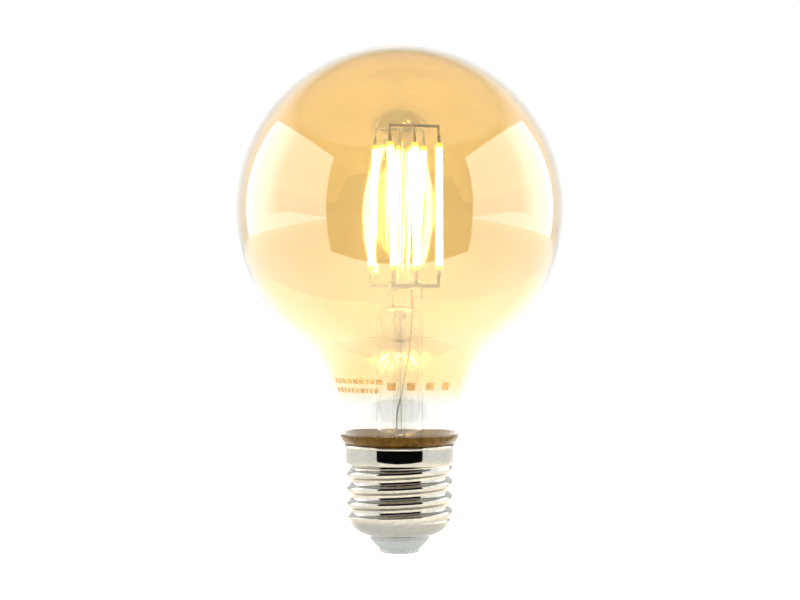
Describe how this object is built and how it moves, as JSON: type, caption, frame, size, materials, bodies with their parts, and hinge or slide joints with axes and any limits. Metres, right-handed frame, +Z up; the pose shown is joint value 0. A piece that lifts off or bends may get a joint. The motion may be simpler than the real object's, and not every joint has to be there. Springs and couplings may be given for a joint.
{
  "type": "smart light bulb",
  "caption": "Amber globe filament lamp with an E27 screw cap, shown lit: straight filaments stand in a wire cage round a glass stem.",
  "frame": {"origin": "centre of the end contact's flat face", "axes": "+Z up the lamp's axis from the end contact to the top of the globe, -Y is the front"},
  "size_m": [0.08, 0.08, 0.1241],
  "materials": {
    "amber_glass": "gloss",
    "clear_glass": "gloss",
    "cap_nickel": "polished",
    "insulator_grey": "matte",
    "contact_metal": "satin",
    "cement_brown": "gloss",
    "dumet_copper": "satin",
    "lead_wire": "satin",
    "nickel_wire": "satin",
    "bracket_steel": "satin",
    "tab_metal": "satin",
    "strip_ceramic": "matte",
    "phosphor": "matte",
    "board_green": "satin",
    "liner_plastic": "matte",
    "resistor_body": "satin",
    "chip_black": "matte",
    "capacitor_sleeve": "gloss",
    "ferrite_grey": "matte",
    "shield_metal": "satin"
  },
  "bodies": {
    "root": {"screw_shell": "cap_nickel", "cap_insulator": "insulator_grey", "centre_contact": "contact_metal", "basing_cement": "cement_brown", "glass_envelope": "amber_glass", "dumet_seal_front": "dumet_copper", "dumet_seal_back": "dumet_copper", "lead_wire_front": "lead_wire", "lead_wire_back": "lead_wire", "inner_lead_front": "nickel_wire", "inner_lead_back": "nickel_wire", "glass_stem": "clear_glass", "exhaust_tube": "clear_glass", "upper_link_wire": "nickel_wire", "glass_support_rod": "clear_glass", "lower_front_bracket": "bracket_steel", "upper_front_bracket": "bracket_steel", "lower_back_bracket": "bracket_steel", "upper_back_bracket": "bracket_steel", "driver_board": "board_green", "insulating_liner": "liner_plastic", "fuse_resistor": "resistor_body", "neutral_lead": "lead_wire", "bridge_rectifier": "chip_black", "driver_chip": "chip_black", "sense_resistor": "chip_black", "input_capacitor": "capacitor_sleeve", "output_capacitor": "capacitor_sleeve", "power_inductor": "ferrite_grey", "radio_module": "board_green", "radio_shield": "shield_metal", "radio_aerial": "nickel_wire", "filament_1_strip": "strip_ceramic", "filament_1_lower_tab": "tab_metal", "filament_1_upper_tab": "tab_metal", "filament_1_coating": "phosphor", "filament_2_strip": "strip_ceramic", "filament_2_lower_tab": "tab_metal", "filament_2_upper_tab": "tab_metal", "filament_2_coating": "phosphor", "filament_3_strip": "strip_ceramic", "filament_3_lower_tab": "tab_metal", "filament_3_upper_tab": "tab_metal", "filament_3_coating": "phosphor", "filament_4_strip": "strip_ceramic", "filament_4_lower_tab": "tab_metal", "filament_4_upper_tab": "tab_metal", "filament_4_coating": "phosphor", "filament_5_strip": "strip_ceramic", "filament_5_lower_tab": "tab_metal", "filament_5_upper_tab": "tab_metal", "filament_5_coating": "phosphor", "filament_6_strip": "strip_ceramic", "filament_6_lower_tab": "tab_metal", "filament_6_upper_tab": "tab_metal", "filament_6_coating": "phosphor"}
  },
  "joints": []
}
